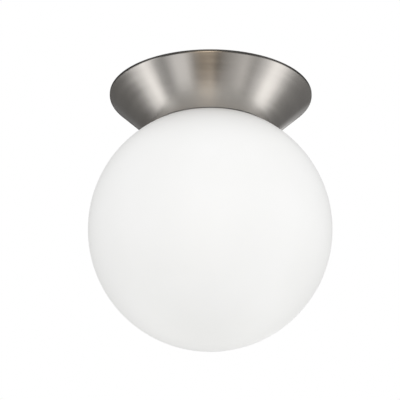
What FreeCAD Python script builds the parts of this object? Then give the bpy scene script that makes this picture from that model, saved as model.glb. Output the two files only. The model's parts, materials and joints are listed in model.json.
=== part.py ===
# Flush mount ceiling light: a spun metal cone with an opal glass globe screwed up into it.
# Frame: millimetres, +Z up, origin where the light's axis meets the ceiling, so all of it hangs
# below z = 0. The screws that hold the cone lie on Y, the slots for the ceiling box on X.
import FreeCAD, Part
import math
import os
from FreeCAD import Vector

# ---- overall sizes ----
globe_diameter = 254.0
globe_wall = 3.0
rim_diameter = 219.0

# ---- clearances ----
running_gap = 0.3               # between pieces that move past each other
seat_gap = 0.02                 # between pieces that are screwed tight together
thread_gap = 0.5                # between the globe's thread and its groove
screw_gap = 0.4                 # a clearance hole's radius over its screw's
mouth_gap = 0.45                # between the cone's mouth and the globe

# ---- globe's screw neck ----
neck_radius = 50.0
neck_fillet = 4.0
neck_top_gap = 2.0              # from the neck's top to the cup above it
thread_pitch = 8.0
ridge_height = 2.3
ridge_half_width = 2.2
ridge_turns = 1.0
ridge_below_top = 4.1           # from the neck's top to the middle of the ridge's upper end
ridge_root = 1.0                # how deep the ridge is rooted in the neck's wall

# ---- threaded collar ----
collar_wall = 4.2               # behind the groove
collar_foot_width = 3.0
collar_foot_height = 1.5
collar_edge = 0.5                # rounding of its corners
collar_screw_radius = 1.5
collar_screw_bite = 5.0
collar_screw_angles = (60.0, 180.0, 300.0)

# ---- fitter cup: drawn sheet ----
cup_sheet = 1.0
cup_bend = 0.8
cup_depth = 17.5                # ceiling to the top of the cup
cup_collar_gap = 0.5
cup_foot_width = 2.0

# ---- canopy: spun sheet ----
canopy_sheet = 1.0
canopy_bend = 0.5               # inside radius of its bends
lip_height = 2.8                # upright lip round the rim
rim_flange_width = 5.0          # turned in under the ceiling
seat_depth = 32.0               # ceiling to the underside of the seat turned in above the mouth
seat_clear = 0.6                # round the collar's foot
skirt_run = 5.0                 # from the seat's edge out to the mouth
ball_below_seat = 4.3           # from the seat down to where the ball has the neck's radius

# ---- gasket between collar and globe ----
gasket_clear = 1.0              # inside the canopy's skirt
gasket_neck_gap = 0.6

# ---- mounting bracket ----
plate = 2.0
plate_bend = 1.5
box_arm_half_length = 56.0
box_arm_width = 22.0
slot_half_spacing = 39.7
slot_half_width = 2.4
slot_length = 14.4
screw_arm_half_length = 46.0
screw_arm_width = 18.0
joggle_start = 13.0             # where the screw arms begin to step down
joggle_run = 4.5
centre_hole_radius = 4.9

# ---- canopy screws and their nuts ----
canopy_screw_radius = 2.05
canopy_screw_circle = 36.0
canopy_screw_reach = 8.5        # below the cup
canopy_head_radius = 4.0
canopy_head_height = 2.3
canopy_head_clear = 1.2         # between a screw's head and the ceiling
lock_nut_flats = 8.7
lock_nut_height = 3.1
cap_nut_radius = 5.6
cap_nut_end = 2.0               # thickness of its blind end
cap_nut_flange_width = 0.6
cap_nut_flange_height = 1.2
knurl_count = 24
knurl_depth = 0.35

# ---- lampholder ----
holder_radius = 20.0
holder_waist = 1.5              # how far its upper part is smaller
holder_waist_height = 16.0
holder_taper = 3.0
holder_drop = 8.5               # from the cup down to the lampholder
holder_height = 36.0
holder_floor = 6.0
holder_edge = 1.2               # rounding round its mouth
holder_shoulder = 2.0           # rounding round its top
holder_crease = 1.0             # rounding of its other corners
holder_shell_gap = 0.8
holder_flat_depth = 1.5         # flats for the strap's legs
strap_sheet = 1.2
strap_width = 14.0
strap_bend = 0.6
strap_screw_offset = 12.0
strap_screw_radius = 1.9
screw_tail = 1.5                # how far a sheet screw stands out of its sheet
side_screw_drop = 10.0          # from the lampholder's top to the screws in its sides
side_screw_radius = 1.6
side_screw_bite = 3.2
strap_leg_end = 5.0             # from a side screw's axis to the end of the strap's leg
small_head_ratio = 1.85         # pan head's radius over its screw's
small_head_height = 2.0

# ---- lampholder's metal parts, and the bulb's screw cap ----
shell_sheet = 0.5
shell_bend = 0.4
shell_end_gap = 5.0             # from the shell's end to the lampholder's mouth
shell_flange = 3.2
cap_radius = 13.0               # the bulb's cap over its thread
cap_thread_pitch = 25.4 / 7
cap_thread_depth = 0.8
cap_sheet = 0.4
cap_lip = 1.4                   # how far the cap's upper edge is rolled in
cap_length = 20.4
contact_width = 5.0
contact_sheet = 0.6
contact_bend = 0.4
contact_drop = 1.9
contact_upturn = 1.2
contact_rivet_radius = 1.5
contact_rivet_length = 3.0

# ---- bulb ----
bulb_radius = 30.0
bulb_length = 108.0
bulb_wall = 1.2
tip_radius = 4.6
tip_height = 1.2
insulator_height = 3.6
insulator_step = 0.6            # how far it overlaps the cap's rolled edge
insulator_rim = 1.0             # how far its top stands out round the tip
housing_neck_step = 0.8         # how far the housing stands out round the cap
housing_neck_height = 2.0
housing_joint_radius = 25.0
led_board_margin = 2.8
led_board_thickness = 1.6
led_board_drop = 1.0            # from the housing's seat edge to the board
led_count = 10
led_margin = 6.0
led_size = 2.8
led_height = 0.7

# ---- wiring ----
lead_radius = 1.1
lead_spacing = 6.0              # also the terminal block's spacing
lead_edge = 1.5                 # from the outer lead's middle to the lampholder's edge
lead_level_depth = 9.0
lead_tail = 3.5                 # how far a lead reaches into the lampholder
grommet_wall = 0.9
grommet_flange = 1.6
grommet_lip = 1.0
block_start_x = 22.0
block_length = 21.0
block_margin = 3.6
block_edge = 1.0
block_cover = 4.0               # from the leads to the block's top
block_entry_radius = 1.8
block_entry_depth = 5.0
block_screw_radius = 1.4
block_screw_sink = 4.5
block_rib_gap = 0.8
terminal_screw_radius = 1.7
terminal_screw_height = 1.4
earth_x = -27.0
earth_screw_radius = 2.1
lug_sheet = 0.8
lug_radius = 4.2
lug_tail_length = 5.0
lug_tail_half_width = 1.4

# ---- insulation pad ----
pad_inner_radius = 24.0
pad_thickness = 3.0
pad_clear = 2.5                 # round whatever passes it

# ---- worked out ----
AXIS = Vector(0, 0, 1)
ORIGIN = Vector(0, 0, 0)
globe_radius = globe_diameter / 2
rim_radius = rim_diameter / 2
seat_z = -seat_depth
globe_centre_z = seat_z - ball_below_seat - math.sqrt(globe_radius ** 2 - neck_radius ** 2)
cup_top_z = -cup_depth
cup_under_z = cup_top_z - cup_sheet
neck_top_z = cup_under_z - neck_top_gap
ridge_top_z = neck_top_z - ridge_below_top
collar_bore_radius = neck_radius + thread_gap + running_gap
groove_radius = neck_radius + ridge_height + thread_gap
collar_radius = groove_radius + collar_wall
collar_foot_radius = collar_radius + collar_foot_width
collar_foot_z = seat_z - seat_gap - collar_foot_height
collar_screw_circle = (groove_radius + collar_radius) / 2
cup_wall_radius = collar_radius + cup_collar_gap + cup_sheet
cup_foot_radius = cup_wall_radius + cup_foot_width
seat_radius = collar_foot_radius + seat_clear
mouth_radius = seat_radius + skirt_run
gasket_inner_radius = neck_radius + neck_fillet + gasket_neck_gap
gasket_outer_radius = seat_radius - gasket_clear
joggle = canopy_head_height + canopy_head_clear
joggle_end = joggle_start + joggle_run
screw_arm_top_z = -joggle
canopy_screw_end_z = cup_under_z - canopy_screw_reach
cap_nut_flange_radius = cap_nut_radius + cap_nut_flange_width
holder_top_z = cup_under_z - holder_drop
holder_floor_z = holder_top_z - holder_floor
holder_low_z = holder_top_z - holder_height
holder_waist_radius = holder_radius - holder_waist
holder_flat = holder_radius - holder_flat_depth
side_screw_z = holder_top_z - side_screw_drop
strap_leg_z = side_screw_z - strap_leg_end
contact_z = holder_floor_z - contact_sheet - contact_drop
tip_top_z = contact_z - running_gap
cap_top_z = tip_top_z - tip_height - insulator_height
cap_low_z = cap_top_z - cap_length
cap_root_radius = cap_radius - cap_thread_depth
cap_bore_radius = cap_root_radius - cap_sheet
cap_lip_radius = cap_bore_radius - cap_lip
spigot_top_z = cap_top_z - cap_sheet - seat_gap
shell_inner_radius = cap_radius + running_gap
shell_outer_radius = shell_inner_radius + shell_sheet
holder_cavity_radius = shell_outer_radius + holder_shell_gap
bulb_low_z = tip_top_z - bulb_length
bulb_centre_z = bulb_low_z + bulb_radius
bulb_joint_z = bulb_centre_z + math.sqrt(bulb_radius ** 2 - housing_joint_radius ** 2)
led_board_radius = housing_joint_radius - bulb_wall - led_board_margin
led_board_z = bulb_joint_z + led_board_drop - seat_gap
led_circle = led_board_radius - led_margin
lead_first_y = holder_waist_radius - lead_edge - lead_spacing
lead_level_z = -lead_level_depth
lead_bend_radius = lead_level_z - cup_top_z - grommet_lip - screw_gap
lead_end_x = block_start_x + block_entry_depth - running_gap
grommet_y = lead_first_y + lead_spacing / 2
grommet_hole_radius = lead_spacing / 2 + lead_radius + grommet_wall
block_low_z = cup_top_z + seat_gap
block_high_z = lead_level_z + block_cover
block_low_y = lead_first_y - block_margin
block_width = 2 * lead_spacing + 2 * block_margin
block_middle_x = block_start_x + block_length / 2
block_screw_y = lead_first_y + lead_spacing / 2
block_screw_seat_z = block_high_z - block_screw_sink
terminal_screw_z = lead_level_z + lead_radius + seat_gap
earth_y = lead_first_y + 2 * lead_spacing
lug_top_z = cup_top_z + seat_gap + lug_sheet
lug_end_x = earth_x + lug_radius + lug_tail_length
pad_outer_radius = collar_screw_circle - collar_screw_radius * small_head_ratio - pad_clear


# ---- drawing helpers ----
def sphere_z(radius, distance):
    """Height of the upper half of a ball about the globe's centre, at a distance from the axis."""
    return globe_centre_z + math.sqrt(radius ** 2 - distance ** 2)


def unit(a, b):
    length = math.hypot(b[0] - a[0], b[1] - a[1])
    return (b[0] - a[0]) / length, (b[1] - a[1]) / length


def rounded_wire(points, radii):
    """Closed outline in the XZ plane, with an arc of its own radius at each corner."""
    def at(p):
        return Vector(p[0], 0, p[1])

    edges, first, last = [], None, None
    for i, (corner, radius) in enumerate(zip(points, radii)):
        before, after = points[i - 1], points[(i + 1) % len(points)]
        u, v = unit(corner, before), unit(corner, after)
        if radius > 0:
            half = math.acos(max(-1.0, min(1.0, u[0] * v[0] + u[1] * v[1]))) / 2
            back, out = radius / math.tan(half), radius / math.sin(half)
            middle = unit((0, 0), (u[0] + v[0], u[1] + v[1]))
            start = (corner[0] + u[0] * back, corner[1] + u[1] * back)
            end = (corner[0] + v[0] * back, corner[1] + v[1] * back)
            crown = (corner[0] + middle[0] * (out - radius), corner[1] + middle[1] * (out - radius))
            arc = Part.Arc(at(start), at(crown), at(end)).toShape()
        else:
            start = end = corner
            arc = None
        if last is not None:
            edges.append(Part.makeLine(at(last), at(start)))
        else:
            first = start
        if arc:
            edges.append(arc)
        last = end
    edges.append(Part.makeLine(at(last), at(first)))
    return Part.Wire(edges)


def sheet_wire(path, thickness, bend):
    """Outline of a bent sheet: one face follows path, the other lies to the left of it."""
    offset, turns = [], []
    for i, p in enumerate(path):
        into = unit(path[i - 1], p) if i else unit(p, path[1])
        out = unit(p, path[i + 1]) if i + 1 < len(path) else into
        left = (-into[1] - out[1], into[0] + out[0])
        scale = thickness / (1 + into[0] * out[0] + into[1] * out[1])
        offset.append((p[0] + left[0] * scale, p[1] + left[1] * scale))
        turns.append(into[0] * out[1] - into[1] * out[0])
    near = [0 if abs(t) < 1e-9 else bend + (thickness if t > 0 else 0) for t in turns]
    far = [0 if abs(t) < 1e-9 else bend + (0 if t > 0 else thickness) for t in turns]
    return rounded_wire(path + offset[::-1], near + far[::-1])


def turned(wire):
    """Solid made by turning an outline about the light's axis."""
    return Part.Face(wire).revolve(ORIGIN, AXIS, 360)


def disc(radius, low_z, high_z, x=0.0, y=0.0):
    return Part.makeCylinder(radius, high_z - low_z, Vector(x, y, low_z))


def ring(inner, outer, low_z, high_z, x=0.0, y=0.0):
    return disc(outer, low_z, high_z, x, y).cut(disc(inner, low_z, high_z, x, y))


def block(x0, x1, y0, y1, z0, z1):
    return Part.makeBox(x1 - x0, y1 - y0, z1 - z0, Vector(x0, y0, z0))


def around(shape, angle):
    copy = shape.copy()
    copy.rotate(ORIGIN, AXIS, angle)
    return copy


def softened(shape, radius, chosen):
    """Fillets the edges that chosen(edge) picks."""
    return shape.makeFillet(radius, [e for e in shape.Edges if chosen(e)])


def level(edge, z):
    """True for an edge that lies flat at height z."""
    return all(abs(v.Z - z) < 1e-6 for v in edge.Vertexes) and abs(edge.BoundBox.ZLength) < 1e-6


def pan_head_screw(radius, head_radius, head_height, length):
    """Screw that points down from z = 0, with its domed head above."""
    head = disc(head_radius, 0, head_height)
    head = softened(head, head_height * 0.45, lambda e: level(e, head_height))
    slot = block(-head_radius, head_radius, -radius * 0.22, radius * 0.22, head_height * 0.5, head_height)
    return head.cut(slot).fuse(disc(radius, -length, 0)).removeSplitter()


def hexagon(flats, low_z, high_z):
    corners = [Vector(math.cos(math.radians(60 * k + 30)), math.sin(math.radians(60 * k + 30)), 0)
               for k in range(7)]
    outline = Part.makePolygon([c * (flats / math.sqrt(3)) + Vector(0, 0, low_z) for c in corners])
    return Part.Face(outline).extrude(Vector(0, 0, high_z - low_z))


def placed(shape, x, y, z):
    copy = shape.copy()
    copy.translate(Vector(x, y, z))
    return copy


def helix_bar(radius, top_z, turns, pitch, root, crown, half_width):
    """Rounded bar wound right-handed about the axis, from root to crown, its upper end's middle at top_z."""
    height = turns * pitch
    path = Part.Wire(Part.makeHelix(pitch, height, radius).Edges)
    low, high = Vector(root, 0, -half_width), Vector(root, 0, half_width)
    section = Part.Wire([Part.Arc(low, Vector(crown, 0, 0), high).toShape(), Part.makeLine(high, low)])
    bar = path.makePipeShell([section], True, True)
    bar.translate(Vector(0, 0, top_z - height))
    return around(bar, -360.0 * turns)


def route(points, radius, largest_bend=math.inf):
    """Round lead along straight runs joined by tangent arcs, each as large as its runs allow."""
    points = [Vector(*p) for p in points]
    edges, last = [], points[0]
    for before, corner, after in zip(points, points[1:], points[2:]):
        u, v = (before - corner), (after - corner)
        turn = math.pi - u.getAngle(v)
        bend = min(0.45 * min(u.Length, v.Length) / math.tan(turn / 2), largest_bend)
        back = bend * math.tan(turn / 2)
        u.normalize()
        v.normalize()
        middle = (u + v).normalize()
        crown = corner + middle * (bend / math.cos(turn / 2) - bend)
        start, end = corner + u * back, corner + v * back
        edges += [Part.makeLine(last, start), Part.Arc(start, crown, end).toShape()]
        last = end
    edges.append(Part.makeLine(last, points[-1]))
    path = Part.Wire(edges)
    direction = (points[1] - points[0]).normalize()
    section = Part.Wire([Part.Circle(points[0], direction, radius).toShape()])
    lead = path.makePipeShell([section], True, False)
    print("lead length", round(path.Length, 1), "mm")
    return lead


# ---- canopy ----
def make_canopy():
    mouth_z = sphere_z(globe_radius + mouth_gap, mouth_radius)
    seat_hole = collar_radius + running_gap
    path = [
        (rim_radius - rim_flange_width, 0.0),
        (rim_radius, 0.0),
        (rim_radius, -lip_height),
        (mouth_radius, mouth_z),
        (seat_radius, seat_z),
        (seat_hole, seat_z),
    ]
    return turned(sheet_wire(path[::-1], canopy_sheet, canopy_bend))


# ---- globe ----
def make_globe():
    inner_radius = globe_radius - globe_wall
    fillet_r = neck_radius + neck_fillet
    fillet_z = sphere_z(globe_radius + neck_fillet, fillet_r)
    out = unit((0, globe_centre_z), (fillet_r, fillet_z))
    neck_top = neck_top_z - globe_wall / 2

    def on_ball(radius):
        return Vector(out[0] * radius, 0, globe_centre_z + out[1] * radius)

    def fillet_middle(radius):
        back = unit((0, 0), (-out[0] - 1, -out[1]))
        return Vector(fillet_r + back[0] * radius, 0, fillet_z + back[1] * radius)

    def ball(radius):
        return Part.Arc(Vector(0, 0, globe_centre_z - radius), Vector(radius, 0, globe_centre_z),
                        on_ball(radius)).toShape()

    def shoulder(radius, fillet):
        return Part.Arc(on_ball(radius), fillet_middle(fillet),
                        Vector(fillet_r - fillet, 0, fillet_z)).toShape()

    def wall(r):
        return Part.makeLine(Vector(r, 0, fillet_z), Vector(r, 0, neck_top))

    lip = Part.Arc(Vector(neck_radius, 0, neck_top),
                   Vector(neck_radius - globe_wall / 2, 0, neck_top_z),
                   Vector(neck_radius - globe_wall, 0, neck_top)).toShape()
    pole = Part.makeLine(Vector(0, 0, globe_centre_z - globe_radius),
                         Vector(0, 0, globe_centre_z - inner_radius))
    edges = [ball(globe_radius), shoulder(globe_radius, neck_fillet), wall(neck_radius), lip,
             wall(neck_radius - globe_wall), shoulder(inner_radius, neck_fillet + globe_wall),
             ball(inner_radius), pole]
    blown = turned(Part.Wire(Part.__sortEdges__(edges)))
    ridge = helix_bar(neck_radius, ridge_top_z, ridge_turns, thread_pitch,
                      neck_radius - ridge_root, neck_radius + ridge_height, ridge_half_width)
    return blown.fuse(ridge)


def make_thread_collar():
    points = [
        (collar_bore_radius, collar_foot_z),
        (collar_foot_radius, collar_foot_z),
        (collar_foot_radius, collar_foot_z + collar_foot_height),
        (collar_radius, collar_foot_z + collar_foot_height),
        (collar_radius, cup_under_z - seat_gap),
        (collar_bore_radius, cup_under_z - seat_gap),
    ]
    collar = turned(rounded_wire(points, [collar_edge, collar_edge, 0, 0, collar_edge, collar_edge]))
    groove_top = ridge_top_z + thread_gap
    below = 2 * ridge_half_width + thread_gap
    groove_turns = (groove_top - collar_foot_z + below) / thread_pitch
    lead_in = 360 * thread_gap / thread_pitch
    groove = helix_bar(neck_radius, groove_top, groove_turns, thread_pitch,
                       neck_radius - ridge_root, groove_radius,
                       ridge_half_width + thread_gap)
    collar = collar.cut(around(groove, lead_in))
    for angle in collar_screw_angles:
        hole = disc(collar_screw_radius + seat_gap, cup_under_z - collar_screw_bite - running_gap,
                    cup_under_z, collar_screw_circle)
        collar = collar.cut(around(hole, angle))
    return collar


def make_collar_screws():
    screw = pan_head_screw(collar_screw_radius, collar_screw_radius * small_head_ratio,
                           small_head_height, cup_sheet + collar_screw_bite)
    seat = cup_top_z + seat_gap
    return [around(placed(screw, collar_screw_circle, 0, seat), a) for a in collar_screw_angles]


def make_globe_gasket():
    """Foam ring that rides on the globe's shoulder, its underside hollowed to the globe."""
    low_z = sphere_z(globe_radius, gasket_outer_radius)
    blank = ring(gasket_inner_radius, gasket_outer_radius, low_z, collar_foot_z - running_gap)
    ball = Part.makeSphere(globe_radius + running_gap, Vector(0, 0, globe_centre_z))
    return blank.cut(ball)


# ---- fitter cup and what is screwed to it ----
def make_fitter_cup():
    foot_z = seat_z + canopy_sheet + seat_gap
    path = [(0, cup_top_z), (cup_wall_radius, cup_top_z), (cup_wall_radius, foot_z + cup_sheet),
            (cup_foot_radius, foot_z + cup_sheet)]
    under = [(cup_foot_radius, foot_z), (cup_wall_radius - cup_sheet, foot_z),
             (cup_wall_radius - cup_sheet, cup_under_z), (0, cup_under_z)]
    radii = [0, cup_bend + cup_sheet, cup_bend, 0, 0, cup_bend + cup_sheet, cup_bend, 0]
    cup = turned(rounded_wire(path + under, radii))
    low, high = cup_under_z - 1, cup_top_z + 1
    cuts = [disc(grommet_hole_radius, low, high, 0, grommet_y)]
    for side in (1, -1):
        cuts.append(disc(strap_screw_radius + seat_gap, low, high, side * strap_screw_offset))
    for angle in collar_screw_angles:
        cuts.append(around(disc(collar_screw_radius + screw_gap, low, high, collar_screw_circle), angle))
    for side in (1, -1):
        cuts.append(disc(canopy_screw_radius + screw_gap, low, high, 0, side * canopy_screw_circle))
    cuts.append(disc(block_screw_radius + seat_gap, low, high, block_middle_x, block_screw_y))
    cuts.append(disc(earth_screw_radius + seat_gap, low, high, earth_x, earth_y))
    for cut in cuts:
        cup = cup.cut(cut)
    return cup


def make_wire_grommet():
    grommet = disc(grommet_hole_radius - seat_gap, cup_under_z - grommet_lip, cup_top_z + grommet_lip,
                   0, grommet_y)
    for low, high in ((cup_top_z + seat_gap, cup_top_z + grommet_lip),
                      (cup_under_z - grommet_lip, cup_under_z - seat_gap)):
        grommet = grommet.fuse(disc(grommet_hole_radius + grommet_flange, low, high, 0, grommet_y))
    for k in range(2):
        bore = disc(lead_radius + seat_gap, cup_under_z - 2 * grommet_lip, cup_top_z + 2 * grommet_lip,
                    0, lead_first_y + k * lead_spacing)
        grommet = grommet.cut(bore)
    return grommet.removeSplitter()


def make_insulation_pad():
    low, high = cup_top_z + seat_gap, cup_top_z + seat_gap + pad_thickness
    pad = ring(pad_inner_radius, pad_outer_radius, low, high)
    cuts = [block(block_start_x - pad_clear, block_start_x + block_length + pad_clear,
                  block_low_y - pad_clear, block_low_y + block_width + pad_clear, low, high),
            disc(lug_radius + pad_clear, low, high, earth_x, earth_y),
            block(earth_x, 0, earth_y - lug_tail_half_width - pad_clear,
                  earth_y + lug_tail_half_width + pad_clear, low, high)]
    for side in (1, -1):
        cuts.append(disc(canopy_screw_radius + pad_clear, low, high, 0, side * canopy_screw_circle))
    for cut in cuts:
        pad = pad.cut(cut)
    return pad


# ---- bracket, and the screws that hold the canopy up ----
def make_mounting_bracket():
    box_arm = block(-box_arm_half_length, box_arm_half_length, -box_arm_width / 2, box_arm_width / 2,
                    -plate, 0)
    box_arm = softened(box_arm, box_arm_width * 0.3,
                       lambda e: e.BoundBox.ZLength > plate / 2 and e.BoundBox.XLength < 1e-6)
    path = [(-screw_arm_half_length, -joggle - plate), (-joggle_end, -joggle - plate),
            (-joggle_start, -plate), (joggle_start, -plate),
            (joggle_end, -joggle - plate), (screw_arm_half_length, -joggle - plate)]
    screw_arm = Part.Face(sheet_wire(path, plate, plate_bend)).extrude(Vector(0, screw_arm_width, 0))
    screw_arm.translate(Vector(0, -screw_arm_width / 2, 0))
    screw_arm = softened(screw_arm, screw_arm_width * 0.3, lambda e: e.BoundBox.ZLength > plate / 2
                         and e.BoundBox.XLength < 1e-6 and abs(e.BoundBox.XMin) > screw_arm_half_length - 1)
    plate_body = box_arm.fuse(around(screw_arm, 90)).removeSplitter()
    plate_body = plate_body.cut(disc(centre_hole_radius, -plate - 1, 1))
    straight = slot_length / 2 - slot_half_width
    for side in (1, -1):
        middle = side * slot_half_spacing
        slot = block(middle - straight, middle + straight, -slot_half_width, slot_half_width, -plate - 1, 1)
        slot = slot.fuse([disc(slot_half_width, -plate - 1, 1, middle + end * straight) for end in (1, -1)])
        tapped = disc(canopy_screw_radius + seat_gap, -joggle - plate - 1, -joggle + 1,
                      0, side * canopy_screw_circle)
        plate_body = plate_body.cut(slot).cut(tapped)
    return plate_body


def make_canopy_screws():
    length = screw_arm_top_z - canopy_screw_end_z
    screw = pan_head_screw(canopy_screw_radius, canopy_head_radius, canopy_head_height, length)
    top = screw_arm_top_z + seat_gap
    return [placed(screw, 0, side * canopy_screw_circle, top) for side in (1, -1)]


def make_lock_nuts():
    high = screw_arm_top_z - plate - seat_gap
    nut = hexagon(lock_nut_flats, high - lock_nut_height, high)
    nut = nut.cut(disc(canopy_screw_radius + seat_gap, high - lock_nut_height, high))
    return [placed(nut, 0, side * canopy_screw_circle, 0) for side in (1, -1)]


def make_cap_nuts():
    """Knurled blind nuts under the fitter cup."""
    high = cup_under_z - seat_gap
    low = canopy_screw_end_z - cap_nut_end
    body = disc(cap_nut_radius, low, high)
    body = softened(body, cap_nut_radius * 0.25, lambda e: level(e, low))
    groove = disc(knurl_depth, low, high - cap_nut_flange_height, cap_nut_radius)
    grooves = [around(groove, 360.0 * k / knurl_count) for k in range(knurl_count)]
    body = body.cut(grooves)
    nut = body.fuse(disc(cap_nut_flange_radius, high - cap_nut_flange_height, high))
    nut = nut.cut(disc(canopy_screw_radius + seat_gap, canopy_screw_end_z - running_gap, high))
    return [placed(nut, 0, side * canopy_screw_circle, 0) for side in (1, -1)]


# ---- lampholder ----
def make_holder_strap():
    outside = holder_flat + seat_gap + strap_sheet
    path = [(outside, strap_leg_z), (outside, cup_under_z - seat_gap),
            (-outside, cup_under_z - seat_gap), (-outside, strap_leg_z)]
    strap = Part.Face(sheet_wire(path, strap_sheet, strap_bend)).extrude(Vector(0, strap_width, 0))
    strap.translate(Vector(0, -strap_width / 2, 0))
    for side in (1, -1):
        hole = disc(strap_screw_radius + screw_gap, cup_under_z - strap_sheet - 1, cup_under_z,
                    side * strap_screw_offset)
        strap = strap.cut(hole).cut(side_bore(side, side_screw_radius + screw_gap, outside + 1))
    return strap


def side_bore(side, radius, reach):
    """Round bar from inside the lampholder out through one leg of the strap."""
    start = holder_flat - side_screw_bite - running_gap
    return Part.makeCylinder(radius, reach - start, Vector(side * start, 0, side_screw_z),
                             Vector(side, 0, 0))


def make_strap_screws():
    screw = pan_head_screw(strap_screw_radius, strap_screw_radius * small_head_ratio, small_head_height,
                           strap_sheet + cup_sheet + screw_tail)
    screw.rotate(ORIGIN, Vector(1, 0, 0), 180)
    seat = cup_under_z - strap_sheet - 2 * seat_gap
    return [placed(screw, side * strap_screw_offset, 0, seat) for side in (1, -1)]


def make_side_screws():
    screw = pan_head_screw(side_screw_radius, side_screw_radius * small_head_ratio, small_head_height,
                           strap_sheet + side_screw_bite)
    screws = []
    for side in (1, -1):
        turned_screw = screw.copy()
        turned_screw.rotate(ORIGIN, Vector(0, 1, 0), side * 90)
        screws.append(placed(turned_screw, side * (holder_flat + strap_sheet + 2 * seat_gap), 0,
                             side_screw_z))
    return screws


def make_lampholder_body():
    """Porcelain body, open below for the bulb's cap."""
    waist_z = holder_top_z - holder_waist_height
    points = [(0, holder_top_z), (holder_waist_radius, holder_top_z), (holder_waist_radius, waist_z),
              (holder_radius, waist_z - holder_taper), (holder_radius, holder_low_z),
              (holder_cavity_radius, holder_low_z), (holder_cavity_radius, holder_floor_z),
              (0, holder_floor_z)]
    body = turned(rounded_wire(points, [0, holder_shoulder, holder_crease, holder_crease,
                                         holder_edge, holder_edge, holder_crease, 0]))
    for side in (1, -1):
        edge = sorted((side * holder_flat, side * (holder_radius + 1)))
        flat = block(edge[0], edge[1], -strap_width / 2 - screw_gap, strap_width / 2 + screw_gap,
                     strap_leg_z - screw_gap, holder_top_z + 1)
        body = body.cut(flat).cut(side_bore(side, side_screw_radius + seat_gap, holder_radius + 1))
    for k in range(2):
        body = body.cut(disc(lead_radius + seat_gap, holder_top_z - lead_tail - running_gap,
                             holder_top_z + 1, 0, lead_first_y + k * lead_spacing))
    return body.cut(disc(contact_rivet_radius + seat_gap, holder_floor_z - 1,
                         holder_floor_z + contact_rivet_length + running_gap, -contact_width))


def make_screw_shell():
    top = holder_floor_z - seat_gap
    path = [(shell_outer_radius, holder_low_z + shell_end_gap), (shell_outer_radius, top),
            (shell_outer_radius - shell_flange, top)]
    return turned(sheet_wire(path, shell_sheet, shell_bend))


def make_centre_contact():
    """Springy brass tongue over the bulb's tip, held by a rivet beside it."""
    back = -contact_width * 1.5
    top = holder_floor_z - seat_gap
    path = [(back, top - contact_sheet), (back + contact_width, top - contact_sheet),
            (-contact_width * 0.1, contact_z), (contact_width * 0.7, contact_z),
            (contact_width * 0.7 + contact_upturn, contact_z + contact_upturn * 0.75)]
    tongue = Part.Face(sheet_wire(path, contact_sheet, contact_bend)).extrude(Vector(0, contact_width, 0))
    tongue.translate(Vector(0, -contact_width / 2, 0))
    return tongue.cut(disc(contact_rivet_radius + seat_gap, contact_z, top + 1, -contact_width))


def make_contact_rivet():
    low = holder_floor_z - 2 * seat_gap - contact_sheet
    rivet = disc(contact_rivet_radius, low, holder_floor_z + contact_rivet_length, -contact_width)
    head = disc(contact_rivet_radius * 1.6, low - contact_sheet, low, -contact_width)
    return rivet.fuse(head).removeSplitter()


# ---- bulb ----
def make_bulb_tip():
    blank = disc(tip_radius, tip_top_z - tip_height, tip_top_z)
    return softened(blank, tip_height * 0.6, lambda e: level(e, tip_top_z))


def make_bulb_insulator():
    top = tip_top_z - tip_height - seat_gap
    plug_radius = cap_lip_radius - seat_gap
    points = [(0, top), (tip_radius + insulator_rim, top),
              (cap_lip_radius + insulator_step, cap_top_z + seat_gap),
              (plug_radius, cap_top_z + seat_gap), (plug_radius, spigot_top_z + seat_gap),
              (0, spigot_top_z + seat_gap)]
    return turned(rounded_wire(points, [0, insulator_step, insulator_step, 0, 0, 0]))


def make_bulb_cap():
    """Screw cap, its thread drawn as level rounds, so it turns and slides clear of the shell."""
    waves = int(cap_length / cap_thread_pitch)
    start = cap_low_z + (cap_length - waves * cap_thread_pitch) / 2
    inside = [(cap_root_radius, cap_top_z), (cap_lip_radius, cap_top_z),
              (cap_lip_radius, cap_top_z - cap_sheet), (cap_bore_radius, cap_top_z - cap_sheet),
              (cap_bore_radius, cap_low_z), (cap_root_radius, cap_low_z)]
    inside = [Vector(r, 0, z) for r, z in inside]
    edges = [Part.makeLine(a, b) for a, b in zip(inside, inside[1:])]
    last = inside[-1]
    for k in range(waves):
        low = Vector(cap_root_radius, 0, start + k * cap_thread_pitch)
        edges.append(Part.makeLine(last, low))
        last = low + Vector(0, 0, cap_thread_pitch * 0.7)
        crown = (low + last) * 0.5 + Vector(cap_thread_depth, 0, 0)
        edges.append(Part.Arc(low, crown, last).toShape())
    edges.append(Part.makeLine(last, inside[0]))
    return turned(Part.Wire(edges))


def make_bulb_housing():
    """Body of the bulb: a spigot inside the cap, a flare down to the dome, and the board's seat."""
    neck_radius_out = cap_radius + housing_neck_step
    spigot = cap_bore_radius - seat_gap
    neck_z = cap_low_z - seat_gap
    foot_z = neck_z - housing_neck_height
    seat = bulb_joint_z + led_board_thickness + led_board_drop
    rim = housing_joint_radius - bulb_wall
    rise, swell = foot_z - bulb_joint_z, housing_joint_radius - neck_radius_out
    flare = Part.BezierCurve()
    flare.setPoles([Vector(neck_radius_out, 0, foot_z),
                    Vector(neck_radius_out + 0.05 * swell, 0, foot_z - 0.45 * rise),
                    Vector(housing_joint_radius - 0.27 * swell, 0, bulb_joint_z + 0.3 * rise),
                    Vector(housing_joint_radius, 0, bulb_joint_z)])
    corners = [(housing_joint_radius, bulb_joint_z), (rim, bulb_joint_z), (rim, seat), (0, seat),
               (0, spigot_top_z), (spigot, spigot_top_z), (spigot, neck_z),
               (neck_radius_out, neck_z), (neck_radius_out, foot_z)]
    corners = [Vector(r, 0, z) for r, z in corners]
    edges = [flare.toShape()] + [Part.makeLine(a, b) for a, b in zip(corners, corners[1:])]
    return turned(Part.Wire(Part.__sortEdges__(edges)))


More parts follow.
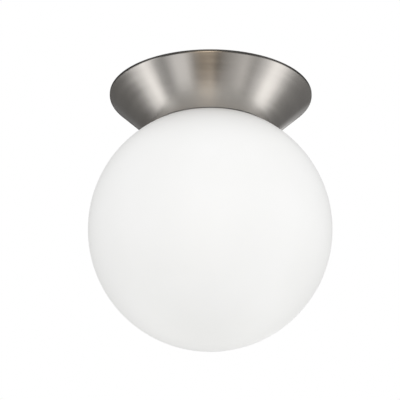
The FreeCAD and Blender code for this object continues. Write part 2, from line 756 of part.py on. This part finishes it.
def make_bulb_dome():
    joint = bulb_joint_z - seat_gap
    outer = Part.makeSphere(bulb_radius, Vector(0, 0, bulb_centre_z))
    inner = Part.makeSphere(bulb_radius - bulb_wall, Vector(0, 0, bulb_centre_z))
    return outer.cut(inner).cut(disc(bulb_radius + 1, joint, bulb_centre_z + bulb_radius + 1))


def make_led_board():
    return disc(led_board_radius, led_board_z, led_board_z + led_board_thickness)


def make_leds():
    high = led_board_z - seat_gap
    half = led_size / 2
    led = block(led_circle - half, led_circle + half, -half, half, high - led_height, high)
    return [around(led, 360.0 * k / led_count) for k in range(led_count)]


# ---- wiring ----
def make_lead(index):
    y = lead_first_y + index * lead_spacing
    points = [(0, y, holder_top_z - lead_tail), (0, y, lead_level_z), (lead_end_x, y, lead_level_z)]
    return route(points, lead_radius, lead_bend_radius)


def make_earth_lead():
    y = earth_y
    on_lug_z = lug_top_z + lead_radius + seat_gap
    points = [(lead_end_x, y, lead_level_z), (block_start_x - 13, y, lead_level_z),
              (lug_end_x + 14, y, lead_level_z - 1.5), (lug_end_x + 3, y, on_lug_z + 1.2),
              (lug_end_x - lug_tail_length + 0.5, y, on_lug_z)]
    return route(points, lead_radius)


def make_earth_lug():
    low, high = cup_top_z + seat_gap, lug_top_z
    lug = disc(lug_radius, low, high, earth_x, earth_y)
    tail = block(earth_x, lug_end_x, earth_y - lug_tail_half_width, earth_y + lug_tail_half_width,
                 low, high)
    return lug.fuse(tail).cut(disc(earth_screw_radius + screw_gap / 2, low, high, earth_x, earth_y))


def make_earth_screw():
    screw = pan_head_screw(earth_screw_radius, lug_radius - 0.4, small_head_height,
                           lug_sheet + cup_sheet + screw_tail)
    return placed(screw, earth_x, earth_y, lug_top_z + seat_gap)


def make_terminal_block():
    end_x = block_start_x + block_length
    body = block(block_start_x, end_x, block_low_y, block_low_y + block_width, block_low_z, block_high_z)
    body = softened(body, block_edge, lambda e: e.BoundBox.ZLength > block_cover)
    for k in range(3):
        y = lead_first_y + k * lead_spacing
        for x, direction in ((block_start_x, 1), (end_x, -1)):
            entry = Part.makeCylinder(block_entry_radius, block_entry_depth, Vector(x, y, lead_level_z),
                                      Vector(direction, 0, 0))
            body = body.cut(entry)
        for x in terminal_screw_xs():
            body = body.cut(disc(terminal_screw_radius + screw_gap, terminal_screw_z, block_high_z, x, y))
    for k in range(2):
        y = lead_first_y + (k + 0.5) * lead_spacing
        body = body.cut(block(block_start_x, end_x, y - block_rib_gap / 2, y + block_rib_gap / 2,
                              block_high_z - block_cover / 2, block_high_z))
    bore = disc(block_screw_radius + seat_gap, block_low_z, block_high_z, block_middle_x, block_screw_y)
    well = disc(block_screw_radius * 2, block_screw_seat_z, block_high_z, block_middle_x, block_screw_y)
    return body.cut(bore).cut(well)


def terminal_screw_xs():
    inset = block_entry_depth * 0.5
    return block_start_x + inset, block_start_x + block_length - inset


def make_terminal_screws():
    """Slotted screws down in the block's wells, their ends on the leads."""
    low, high = terminal_screw_z, terminal_screw_z + terminal_screw_height
    slot_half = terminal_screw_radius * 0.18
    screw = disc(terminal_screw_radius, low, high)
    screw = screw.cut(block(-terminal_screw_radius, terminal_screw_radius, -slot_half, slot_half,
                            (low + high) / 2, high))
    return [placed(screw, x, lead_first_y + k * lead_spacing, 0)
            for x in terminal_screw_xs() for k in range(3)]


def make_block_screw():
    screw = pan_head_screw(block_screw_radius, block_screw_radius * small_head_ratio, small_head_height,
                           block_screw_seat_z - cup_under_z + screw_tail)
    return placed(screw, block_middle_x, block_screw_y, block_screw_seat_z + seat_gap)


# ---- every piece, by the name of its node ----
def all_parts():
    return {
        "mounting_bracket": make_mounting_bracket(),
        "canopy_screws": make_canopy_screws(),
        "lock_nuts": make_lock_nuts(),
        "cap_nuts": make_cap_nuts(),
        "canopy": make_canopy(),
        "fitter_cup": make_fitter_cup(),
        "thread_collar": make_thread_collar(),
        "collar_screws": make_collar_screws(),
        "wire_grommet": make_wire_grommet(),
        "insulation_pad": make_insulation_pad(),
        "holder_strap": make_holder_strap(),
        "strap_screws": make_strap_screws(),
        "side_screws": make_side_screws(),
        "lampholder_body": make_lampholder_body(),
        "screw_shell": make_screw_shell(),
        "centre_contact": make_centre_contact(),
        "contact_rivet": make_contact_rivet(),
        "line_lead": make_lead(0),
        "neutral_lead": make_lead(1),
        "earth_lead": make_earth_lead(),
        "earth_lug": make_earth_lug(),
        "earth_screw": make_earth_screw(),
        "terminal_block": make_terminal_block(),
        "terminal_screws": make_terminal_screws(),
        "block_screw": make_block_screw(),
        "bulb_tip": make_bulb_tip(),
        "bulb_insulator": make_bulb_insulator(),
        "bulb_cap": make_bulb_cap(),
        "bulb_housing": make_bulb_housing(),
        "bulb_dome": make_bulb_dome(),
        "led_board": make_led_board(),
        "leds": make_leds(),
        "globe_gasket": make_globe_gasket(),
        "globe": make_globe(),
    }


def main():
    os.makedirs("parts", exist_ok=True)
    for name, shape in all_parts().items():
        if isinstance(shape, list):
            shape = Part.makeCompound(shape)
        shape.exportStep(os.path.join("parts", name + ".step"))
        print(name, len(shape.Solids), "solids", "valid" if shape.isValid() else "NOT VALID",
              round(shape.Volume, 1), "mm3")


main()
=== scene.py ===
import bpy
import bmesh
import json
import math
from mathutils import Matrix, Vector


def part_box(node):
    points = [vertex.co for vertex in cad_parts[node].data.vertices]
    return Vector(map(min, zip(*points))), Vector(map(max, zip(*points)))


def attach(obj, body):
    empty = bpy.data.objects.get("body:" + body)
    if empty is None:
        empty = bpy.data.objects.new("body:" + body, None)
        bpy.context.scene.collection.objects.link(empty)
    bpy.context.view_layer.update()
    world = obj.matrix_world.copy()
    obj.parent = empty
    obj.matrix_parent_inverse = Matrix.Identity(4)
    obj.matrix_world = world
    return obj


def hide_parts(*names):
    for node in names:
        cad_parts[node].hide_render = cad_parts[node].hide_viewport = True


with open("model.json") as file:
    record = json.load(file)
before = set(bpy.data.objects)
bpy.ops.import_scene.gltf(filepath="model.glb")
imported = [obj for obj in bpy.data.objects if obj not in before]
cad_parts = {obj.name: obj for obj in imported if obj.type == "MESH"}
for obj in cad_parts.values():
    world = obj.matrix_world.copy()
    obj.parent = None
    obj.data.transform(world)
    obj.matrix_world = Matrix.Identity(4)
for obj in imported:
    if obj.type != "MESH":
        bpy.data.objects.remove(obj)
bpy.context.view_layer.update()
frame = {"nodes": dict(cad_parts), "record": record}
nodes = frame["nodes"]
print("frame loaded:", len(nodes), "nodes")

weld = 1e-6                                                                # points nearer than this are one
toDegrees = 180 / math.pi


# shader maths: a socket that can be added, multiplied and so on
class Signal:
    def __init__(self, tree, socket=None):
        self.tree = tree
        self.socket = socket

    def add(self, kind, settings=None, inputs=None, output=0):
        made = self.tree.nodes.new("ShaderNode" + kind)
        for name, value in (settings or {}).items():
            if name == "stops":
                elements = made.color_ramp.elements
                for place, shade in value[len(elements):]:
                    elements.new(place)
                for stop, (place, shade) in zip(elements, value):
                    stop.position = place
                    stop.color = colour(*shade)
            else:
                setattr(made, name, value)
        for name, value in (inputs or {}).items():
            if isinstance(value, Signal):
                self.tree.links.new(value.socket, made.inputs[name])
            else:
                made.inputs[name].default_value = value
        return Signal(self.tree, made.outputs[output])

    def maths(self, operation, first, second=0.0):
        return self.add("Math", {"operation": operation}, {0: first, 1: second})

    def __add__(self, other):
        return self.maths("ADD", self, other)

    def __radd__(self, other):
        return self.maths("ADD", other, self)

    def __sub__(self, other):
        return self.maths("SUBTRACT", self, other)

    def __rsub__(self, other):
        return self.maths("SUBTRACT", other, self)

    def __mul__(self, other):
        return self.maths("MULTIPLY", self, other)

    def __rmul__(self, other):
        return self.maths("MULTIPLY", other, self)

    def __pow__(self, other):
        return self.maths("POWER", self, other)

    def mix(self, first, second):
        return self.add("Mix", {"data_type": "RGBA"}, {0: self, 6: first, 7: second}, 2)

    def spread(self, low, high):
        return self.add("MapRange", {}, {"Value": self, "From Min": low, "From Max": high})


def colour(r, g, b):
    return (r, g, b, 1.0)


def surface(name, metallic=0.0, **constants):
    made = bpy.data.materials.new(name)
    made.use_nodes = True
    tree = made.node_tree
    shader = tree.nodes["Principled BSDF"]
    shader.inputs["Metallic"].default_value = metallic
    for key, value in constants.items():
        shader.inputs[key.replace("_", " ")].default_value = value
    return made, Signal(tree), shader


def plug(start, shader, **links):
    for key, value in links.items():
        start.tree.links.new(value.socket, shader.inputs[key.replace("_", " ")])


def objectPlace(start):
    return start.add("TexCoord", output=3)


def apart(vector):
    split = vector.add("SeparateXYZ", {}, {"Vector": vector})
    return [Signal(vector.tree, out) for out in split.socket.node.outputs]


# a noise of 0 to 1 in the object's own space
def noise(start, scale, detail=3.0, roughness=0.5):
    return start.add("TexNoise", {}, {"Vector": objectPlace(start), "Scale": scale, "Detail": detail,
                                      "Roughness": roughness})


# a noise's swing about its middle
def swing(signal, size):
    return (signal - .5) * size


def bump(start, height, depth):
    return start.add("Bump", {}, {"Height": height, "Distance": depth, "Strength": 1.0})


# materials
brushed = {"dark": colour(.430, .409, .385), "light": colour(.471, .449, .422), "roughness": .20,
           "anisotropy": .90, "turned": .25, "lineScale": 2600.0, "lineStretch": 6.0, "lineDepth": .000003,
           "lineRough": .08, "lineShare": .6, "broadScale": 26.0, "broadRough": .04, "contrast": (.3, .7)}


def brushedNickel():
    made, start, shader = surface("brushedNickel", metallic=1.0, Anisotropic=brushed["anisotropy"],
                                  Anisotropic_Rotation=brushed["turned"])
    x, y, z = apart(objectPlace(start))
    radius = (x * x + y * y) ** .5
    along = radius - z                                     # the same all round, so lines run round the axis
    stretch = brushed["lineStretch"]
    place = start.add("CombineXYZ", {}, {"X": along * brushed["lineScale"], "Y": x * stretch,
                                         "Z": y * stretch})
    lines = start.add("TexNoise", {}, {"Vector": place, "Scale": 1.0, "Detail": 2.0})
    broad = noise(start, brushed["broadScale"], detail=2.0)
    tone = lines * brushed["lineShare"] + broad * (1 - brushed["lineShare"])
    rough = brushed["roughness"] + swing(lines, brushed["lineRough"]) + swing(broad, brushed["broadRough"])
    plug(start, shader, Base_Color=tone.spread(*brushed["contrast"]).mix(brushed["dark"], brushed["light"]),
         Roughness=rough, Normal=bump(start, lines, brushed["lineDepth"]),
         Tangent=start.add("Tangent", {"direction_type": "RADIAL", "axis": "Z"}))
    return made


opal = {"low": colour(.925, .925, .915), "high": colour(.945, .945, .94), "index": 1.5, "gloss": .14,
        "roughness": .46, "grainRough": .12, "cloudScale": 9.0, "grainScale": 900.0, "grainDepth": .00001,
        "contrast": (.35, .65)}


def opalGlass():
    made, start, shader = surface("opalGlass", IOR=opal["index"], Specular_IOR_Level=opal["gloss"])
    cloud = noise(start, opal["cloudScale"])
    grain = noise(start, opal["grainScale"], detail=2.0)
    plug(start, shader, Base_Color=cloud.spread(*opal["contrast"]).mix(opal["low"], opal["high"]),
         Roughness=opal["roughness"] + swing(grain, opal["grainRough"]),
         Normal=bump(start, grain, opal["grainDepth"]))
    return made


mottled = {"finer": 9, "mottleRough": .1, "fineRough": .06, "contrast": (.3, .7)}


# a finish from two shades, a roughness and the scale of its mottle
def plain(name, low, high, roughness, scale, depth=.00002, metallic=0.0):
    made, start, shader = surface(name, metallic=metallic)
    mottle = noise(start, scale, detail=4.0, roughness=.6)
    fine = noise(start, scale * mottled["finer"], detail=2.0)
    plug(start, shader, Base_Color=mottle.spread(*mottled["contrast"]).mix(colour(*low), colour(*high)),
         Roughness=roughness + swing(mottle, mottled["mottleRough"]) + swing(fine, mottled["fineRough"]),
         Normal=bump(start, fine, depth))
    return made


finishes = {
    "brushed_nickel": brushedNickel(),
    "opal_glass": opalGlass(),
    "zinc_plate": plain("zincPlate", (.58, .60, .62), (.72, .73, .73), .34, 120, metallic=1.0),
    "zinc_screws": plain("zincScrews", (.55, .56, .57), (.68, .69, .70), .30, 300, metallic=1.0),
    "nickel_nuts": plain("nickelNuts", (.60, .58, .54), (.70, .68, .64), .30, 300, metallic=1.0),
    "cast_collar": plain("castCollar", (.78, .78, .76), (.86, .86, .85), .42, 160),
    "grommet_rubber": plain("grommetRubber", (.02, .02, .022), (.05, .05, .052), .62, 200),
    "glass_fibre": plain("glassFibre", (.70, .62, .42), (.90, .85, .70), .9, 160, .0004),
    "porcelain": plain("porcelain", (.84, .83, .80), (.92, .91, .88), .16, 90),
    "nickel_brass": plain("nickelBrass", (.66, .63, .56), (.76, .73, .66), .26, 200, metallic=1.0),
    "contact_brass": plain("contactBrass", (.66, .47, .20), (.80, .62, .32), .32, 260, metallic=1.0),
    "black_lead": plain("blackLead", (.015, .015, .016), (.03, .03, .032), .38, 200),
    "white_lead": plain("whiteLead", (.80, .80, .78), (.87, .87, .85), .38, 200),
    "green_lead": plain("greenLead", (.05, .27, .08), (.08, .36, .12), .38, 200),
    "tinned_brass": plain("tinnedBrass", (.62, .61, .59), (.74, .73, .71), .34, 260, metallic=1.0),
    "green_screw": plain("greenScrew", (.09, .33, .13), (.16, .44, .20), .34, 260, metallic=1.0),
    "block_plastic": plain("blockPlastic", (.80, .80, .78), (.87, .87, .85), .45, 150),
    "black_insulator": plain("blackInsulator", (.02, .02, .022), (.05, .05, .052), .30, 150),
    "cap_metal": plain("capMetal", (.66, .65, .62), (.76, .75, .72), .24, 200, metallic=1.0),
    "bulb_body": plain("bulbBody", (.85, .85, .84), (.90, .90, .89), .30, 120),
    "bulb_diffuser": plain("bulbDiffuser", (.90, .90, .88), (.94, .94, .92), .42, 120),
    "board_aluminium": plain("boardAluminium", (.82, .82, .80), (.88, .88, .87), .40, 150),
    "led_phosphor": plain("ledPhosphor", (.80, .62, .10), (.90, .76, .20), .35, 400),
    "gasket_rubber": plain("gasketRubber", (.74, .74, .72), (.82, .82, .80), .70, 240, .00008),
}
for part in frame["record"]["subparts"]:
    nodes[part["node"]].data.materials.clear()
    nodes[part["node"]].data.materials.append(finishes[part["material_slot"]])
print("materials made:", len(finishes))


# stage, light and camera
# angles in degrees, the lens and the sensor in millimetres
camera = {"distance": 1.30, "climb": 21.55, "roll": .41, "lens": 110.8, "sensor": 36.0,
          "towards": (0, 0, -.110), "aim": (-.0108, .0036, -.1190)}


def placeCamera():
    bpy.context.scene.view_settings.view_transform = "Standard"
    data = bpy.data.cameras.new("camera")
    data.lens = camera["lens"]
    data.sensor_width = camera["sensor"]
    made = bpy.data.objects.new("camera", data)
    bpy.context.collection.objects.link(made)
    climb = math.radians(camera["climb"])
    ahead = Vector((0, math.cos(climb), math.sin(climb)))
    made.location = Vector(camera["towards"]) - camera["distance"] * ahead
    look = (Vector(camera["aim"]) - made.location).to_track_quat("-Z", "Y")
    roll = Matrix.Rotation(math.radians(camera["roll"]), 3, "Z")
    made.rotation_euler = (look.to_matrix() @ roll).to_euler()
    bpy.context.scene.camera = made


room = {"floorDepth": -2.4, "floorSize": 14.0, "floorRough": .7, "floorMottle": 1.5,
        "floorLow": colour(.88, .88, .87), "floorHigh": colour(.90, .90, .89), "floorContrast": (.3, .7),
        "fadeFrom": 2.2, "fadeTo": 5.8, "background": 1.0, "fill": .89}


def whiteRoom():
    world = bpy.data.worlds.new("whiteRoom")
    world.use_nodes = True
    bpy.context.scene.world = world
    start = Signal(world.node_tree)
    rays = start.add("LightPath").socket.node.outputs
    seen = Signal(start.tree, rays["Is Camera Ray"])
    for name in ("Is Glossy Ray", "Is Transmission Ray"):
        seen = start.maths("MAXIMUM", seen, Signal(start.tree, rays[name]))
    back = world.node_tree.nodes["Background"]
    back.inputs["Color"].default_value = colour(1, 1, 1)
    strength = room["fill"] + seen * (room["background"] - room["fill"])
    start.tree.links.new(strength.socket, back.inputs["Strength"])


def paleFloor():
    bm = bmesh.new()
    bmesh.ops.create_grid(bm, x_segments=1, y_segments=1, size=room["floorSize"] / 2)
    bmesh.ops.translate(bm, verts=bm.verts, vec=(0, 0, room["floorDepth"]))
    made = finished(bm, "floor")
    paint, start, shader = surface("palePaint", Roughness=room["floorRough"])
    mottle = noise(start, room["floorMottle"], detail=4.0, roughness=.6)
    x, y = apart(objectPlace(start))[:2]
    away = ((x * x + y * y) ** .5).spread(room["fadeFrom"], room["fadeTo"])
    plug(start, shader, Alpha=1 - away,                                    # the far floor fades into white
         Base_Color=mottle.spread(*room["floorContrast"]).mix(room["floorLow"], room["floorHigh"]))
    made.data.materials.append(paint)


# a tent of studio panels, seen only in reflections: strips that fan out from a pole behind the light,
# each with an angle to one side of the middle, a brightness and a warmth; those under the light lie steeper
tent = {"radius": 2.2, "segments": 96, "rings": 64, "top": .7, "dark": .20, "darkest": .26,
        "ceiling": colour(.02, .02, .02), "pole": .93, "reach": 130.0, "steep": 51, "steepest": 63,
        "strength": 3.4, "lessGreen": .13, "lessBlue": .28,
        "under": [(-100, .38, 0), (-92, .34, 0), (-84, .60, .1), (-68, 1.1, .1), (-61, 1.6, 0),
                  (-55, 2.1, 0), (-49, 2.8, 0), (-40, 2.6, 0), (-33, .30, 0), (-28, .50, 0),
                  (-21, 1.6, 0), (-15, 1.5, 0), (-9, .30, .1), (-5, .03, .3), (-1, .12, .6),
                  (1, .12, .6), (4, .05, .3), (8, .45, .2), (13, .80, .1), (20, 1.3, .1), (26, .75, .1),
                  (33, 1.2, 0), (40, 2.4, 0), (47, 2.8, 0), (53, 2.2, 0), (60, 1.4, .1), (70, 1.0, .1),
                  (84, .52, .1), (90, .55, 0), (96, 1.9, 0), (101, 2.4, 0), (107, .50, 0)],
        "front": [(-100, .36, 0), (-92, .24, 0), (-84, .18, .1), (-60, .22, .1), (-52, .25, 0),
                  (-46, .50, 0), (-40, 1.15, 0), (-35, 1.6, 0), (-31, 1.1, 0), (-27, .35, 0),
                  (-22, .20, 0), (-16, .45, .1), (-10, .80, .7), (-5, 1.7, 1.2), (-1, 1.9, 1.2),
                  (1, 1.8, 1.2), (4, .90, 1.0), (8, .40, .5), (14, .28, .1), (22, .25, .1), (27, .40, 0),
                  (33, 1.1, 0), (38, 1.55, 0), (43, 1.2, 0), (49, .50, 0), (56, .30, 0), (84, .22, .1),
                  (91, .5, 0), (96, 1.6, 0), (101, 2.2, 0), (107, .50, 0)]}


def strips(fan, panels):
    stops = []
    for angle, shade, warmth in panels:
        level = shade / tent["strength"]
        green, blue = 1 - tent["lessGreen"] * warmth, 1 - tent["lessBlue"] * warmth
        stops.append((angle / (2 * tent["reach"]) + .5, (level, level * green, level * blue)))
    return fan.add("ValToRGB", {"stops": stops}, {"Fac": fan.spread(-tent["reach"], tent["reach"])})


def lightTent():
    bm = bmesh.new()
    radius = tent["radius"]
    bmesh.ops.create_uvsphere(bm, u_segments=tent["segments"], v_segments=tent["rings"], radius=radius)
    bmesh.ops.bisect_plane(bm, geom=bm.verts[:] + bm.edges[:] + bm.faces[:], dist=weld,
                           plane_co=(0, 0, tent["top"] * radius), plane_no=(0, 0, 1), clear_outer=True)
    made = finished(bm, "lightTent")
    material, start, shader = surface("tentCloth", Base_Color=colour(0, 0, 0), Specular_IOR_Level=0.0,
                                      Roughness=1.0, Emission_Strength=tent["strength"])
    x, y, z = apart(objectPlace(start))
    pole = tent["pole"] * radius
    turn = start.maths("ARCTAN2", x, pole - y)
    fan = turn * toDegrees
    outward = (x * x + (pole - y) * (pole - y)) ** .5 - pole * start.maths("COSINE", turn)
    dip = start.maths("ARCTAN2", 0 - z, outward) * toDegrees               # how steeply a panel lies below
    under = dip.spread(tent["steep"], tent["steepest"])
    above = z.spread(tent["dark"] * radius, tent["darkest"] * radius)
    cloth = under.mix(strips(fan, tent["front"]), strips(fan, tent["under"]))
    plug(start, shader, Emission_Color=above.mix(cloth, tent["ceiling"]))
    made.data.materials.append(material)
    for kind in ("camera", "diffuse", "transmission", "volume_scatter", "shadow"):
        setattr(made, "visible_" + kind, False)


lamps = {
    "leftBox": {"at": (-1.3, -1.0, -.3), "size": .8, "power": .9},
    "rightBox": {"at": (1.3, -1.2, -.45), "size": .9, "power": 2.8},
    "topBox": {"at": (0, -1.5, .62), "size": .8, "power": 1.7},
}
lampAim = (0, 0, -.15)


def softLights():
    for name, lamp in lamps.items():
        data = bpy.data.lights.new(name, "AREA")
        data.size = lamp["size"]
        data.energy = lamp["power"]
        made = bpy.data.objects.new(name, data)
        bpy.context.collection.objects.link(made)
        made.location = lamp["at"]
        made.rotation_euler = (Vector(lampAim) - made.location).to_track_quat("-Z", "Y").to_euler()
        made.visible_glossy = False


# pieces
def finished(bm, name):
    data = bpy.data.meshes.new(name)
    bm.to_mesh(data)
    bm.free()
    made = bpy.data.objects.new(name, data)
    bpy.context.collection.objects.link(made)
    for face in data.polygons:
        face.use_smooth = True
    return made


def dressed(piece, body, slot, *stoodFor):
    piece.data.materials.append(finishes[slot])
    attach(piece, body)
    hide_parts(*stoodFor)


def chain(bm, points):
    verts = [bm.verts.new((r, 0, z)) for r, z in points]
    for a, b in zip(verts, verts[1:]):
        bm.edges.new((a, b))
    return verts


def spunRound(bm, steps):
    bmesh.ops.spin(bm, geom=bm.verts[:] + bm.edges[:], cent=(0, 0, 0), axis=(0, 0, 1), angle=math.tau,
                   steps=steps, use_merge=True)
    bmesh.ops.remove_doubles(bm, verts=bm.verts, dist=weld)
    bmesh.ops.recalc_face_normals(bm, faces=bm.faces)


# gives an open sheet its wall, inwards for side -1 and outwards for 1, and rounds corners past the angle
def walled(piece, thickness, side, edge, segments, angle):
    wall = piece.modifiers.new("wall", "SOLIDIFY")
    wall.thickness = thickness
    wall.offset = side
    bend = piece.modifiers.new("bend", "BEVEL")
    bend.width = edge
    bend.segments = segments
    bend.limit_method = "ANGLE"
    bend.angle_limit = math.radians(angle)
    return wall


def softSheet(piece, thickness, edge, segments):
    wall = walled(piece, thickness, side=-1.0, edge=edge, segments=segments, angle=30)
    wall.use_even_offset = True
    evened = piece.modifiers.new("evened", "WEIGHTED_NORMAL")
    evened.keep_sharp = False


canopy = {"flange": .0050, "lip": .0028, "mouthRadius": .0656, "mouthDepth": .04375, "seatRadius": .0606,
          "seatDepth": .0320, "holeRadius": .0573, "sheet": .0010, "bend": .0004, "bendSteps": 3,
          "steps": 192}


def canopyPiece():
    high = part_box("canopy")[1]
    rim, ceiling = high[0], high[2]
    points = [(rim - canopy["flange"], ceiling), (rim, ceiling), (rim, ceiling - canopy["lip"]),
              (canopy["mouthRadius"], -canopy["mouthDepth"]), (canopy["seatRadius"], -canopy["seatDepth"]),
              (canopy["holeRadius"], -canopy["seatDepth"])]
    bm = bmesh.new()
    chain(bm, points)
    spunRound(bm, canopy["steps"])
    piece = finished(bm, "canopySheet")
    softSheet(piece, canopy["sheet"], canopy["bend"], canopy["bendSteps"])
    dressed(piece, "fixture", "brushed_nickel", "canopy")


globe = {"wall": .003, "neckRadius": .050, "neckFillet": .004, "neckTop": -.0205, "rounding": .0013,
         "roundingSteps": 4, "ballSteps": 80, "filletSteps": 8, "neckSteps": 6, "steps": 160}


def globePiece():
    low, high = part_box("globe")
    radius = (high[1] - low[1]) / 2
    centre = low[2] + radius
    filletR = globe["neckRadius"] + globe["neckFillet"]
    shoulder = math.asin(filletR / (radius + globe["neckFillet"]))         # from the top to the ball's end
    filletZ = centre + (radius + globe["neckFillet"]) * math.cos(shoulder)
    bm = bmesh.new()
    end = bm.verts.new((0, 0, centre - radius))
    for middle, turn, steps in (((0, 0, centre), shoulder - math.pi, globe["ballSteps"]),
                                ((filletR, 0, filletZ), math.pi / 2 - shoulder, globe["filletSteps"])):
        spun = bmesh.ops.spin(bm, geom=[end], cent=middle, axis=(0, 1, 0), angle=turn, steps=steps)
        end = [item for item in spun["geom_last"] if isinstance(item, bmesh.types.BMVert)][0]
    rise = (globe["neckTop"] - end.co.z) / globe["neckSteps"]
    for step in range(globe["neckSteps"]):
        above = bmesh.ops.extrude_vert_indiv(bm, verts=[end])["verts"][0]
        above.co.z += rise
        end = above
    spunRound(bm, globe["steps"])
    piece = finished(bm, "opalGlobe")
    softSheet(piece, globe["wall"], globe["rounding"], globe["roundingSteps"])
    dressed(piece, "globe", "opal_glass", "globe")


globeThread = {"pitch": .008, "top": -.0246, "height": .0023, "halfWidth": .0022, "root": .0010,
               "sink": 1.15, "sectionSteps": 12, "steps": 180, "runOut": 14}


def threadPiece():
    root = globe["neckRadius"] - globeThread["root"]
    rise, half = globeThread["root"] + globeThread["height"], globeThread["halfWidth"]
    bend = (rise * rise + half * half) / (2 * rise)                        # the arc through root and crown
    middle = Vector((root + rise - bend, 0, globeThread["top"]))
    bm = bmesh.new()
    low = bm.verts.new((root, 0, globeThread["top"] - half))
    bmesh.ops.spin(bm, geom=[low], cent=middle, axis=(0, 1, 0), steps=globeThread["sectionSteps"],
                   angle=-2 * math.atan2(half, root - middle.x))
    bm.verts.ensure_lookup_table()
    bm.edges.new((bm.verts[-1], bm.verts[0]))
    around, steps = len(bm.verts), globeThread["steps"]
    bmesh.ops.spin(bm, geom=bm.verts[:] + bm.edges[:], cent=(0, 0, 0), axis=(0, 0, 1), angle=-math.tau,
                   steps=steps, dvec=(0, 0, -globeThread["pitch"] / steps))
    for place, vert in enumerate(bm.verts):                                # both ends sink into the glass
        ring = place // around
        fade = min(1.0, ring / globeThread["runOut"], (steps - ring) / globeThread["runOut"])
        sunk = (1 - math.sin(fade * math.pi / 2)) * globeThread["height"] * globeThread["sink"]
        vert.co.xy = vert.co.xy * (1 - sunk / vert.co.xy.length)
    bmesh.ops.holes_fill(bm, edges=[edge for edge in bm.edges if edge.is_boundary], sides=0)
    bmesh.ops.recalc_face_normals(bm, faces=bm.faces)
    dressed(finished(bm, "globeThread"), "globe", "opal_glass", "globe")


bulbThread = {"pitch": .0254 / 7, "depth": .0008, "crest": .0130, "play": .0003, "samples": 12, "steps": 96,
              "fade": .0014, "snap": .00002, "cap": .0004, "capLip": .0104, "shell": .0005,
              "shellHole": .0106, "bend": .00015, "bendSteps": 2, "bendAngle": 50}


# a thin threaded sleeve: a wavy line wound up the axis, cut level, its ends faded plain, a lip at the top
def woundSheet(crest, plainRadius, low, high, lipRadius):
    pitch, samples = bulbThread["pitch"], bulbThread["samples"]
    points = []
    for sample in range(math.floor((low / pitch - 1) * samples), math.ceil(high / pitch * samples) + 1):
        swell = .5 + .5 * math.cos(math.tau * sample / samples)
        points.append((crest - bulbThread["depth"] * (1 - swell), sample * pitch / samples))
    bm = bmesh.new()
    chain(bm, points)
    bmesh.ops.spin(bm, geom=bm.verts[:] + bm.edges[:], cent=(0, 0, 0), axis=(0, 0, 1), angle=math.tau,
                   steps=bulbThread["steps"], dvec=(0, 0, pitch / bulbThread["steps"]))
    bmesh.ops.remove_doubles(bm, verts=bm.verts, dist=weld)
    for level, way in ((low, -1), (high, 1)):
        bmesh.ops.bisect_plane(bm, geom=bm.verts[:] + bm.edges[:] + bm.faces[:], dist=bulbThread["snap"],
                               use_snap_center=True, plane_co=(0, 0, level), plane_no=(0, 0, way),
                               clear_outer=True)
    bmesh.ops.remove_doubles(bm, verts=bm.verts, dist=bulbThread["snap"])
    for vert in bm.verts:                                                  # both ends fade to a plain round
        fade = max(0.0, min(1.0, min(vert.co.z - low, high - vert.co.z) / bulbThread["fade"]))
        radius = vert.co.xy.length
        vert.co.xy = vert.co.xy * ((plainRadius + (radius - plainRadius) * fade) / radius)
    top = [edge for edge in bm.edges if edge.is_boundary and min(v.co.z for v in edge.verts) > high - weld]
    lip = bmesh.ops.extrude_edge_only(bm, edges=top)["geom"]
    for vert in lip:
        if isinstance(vert, bmesh.types.BMVert):
            vert.co.xy = vert.co.xy * (lipRadius / vert.co.xy.length)
    bmesh.ops.recalc_face_normals(bm, faces=bm.faces)
    if sum(face.normal.xy.dot(face.calc_center_median().xy) for face in bm.faces) < 0:
        bmesh.ops.reverse_faces(bm, faces=bm.faces)                        # an open sheet may face inwards
    return bm


def rolledEdge(piece, thickness, side):
    walled(piece, thickness, side, edge=bulbThread["bend"], segments=bulbThread["bendSteps"],
           angle=bulbThread["bendAngle"])


def bulbThreads():
    low, high = (corner[2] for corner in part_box("bulb_cap"))
    cap = finished(woundSheet(bulbThread["crest"], bulbThread["crest"] - bulbThread["depth"], low, high,
                              bulbThread["capLip"]), "bulbCapSheet")
    rolledEdge(cap, bulbThread["cap"], -1.0)
    dressed(cap, "bulb", "cap_metal", "bulb_cap")
    low, high = (corner[2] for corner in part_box("screw_shell"))
    inner = bulbThread["crest"] + bulbThread["play"]
    shell = finished(woundSheet(inner, inner, low, high - bulbThread["shell"], bulbThread["shellHole"]),
                     "screwShellSheet")
    rolledEdge(shell, bulbThread["shell"], 1.0)
    dressed(shell, "fixture", "nickel_brass", "screw_shell")


placeCamera()
whiteRoom()
paleFloor()
lightTent()
softLights()
print("stage set")
canopyPiece()
globePiece()
threadPiece()
print("canopy and globe made")
bulbThreads()
print("bulb threads made")
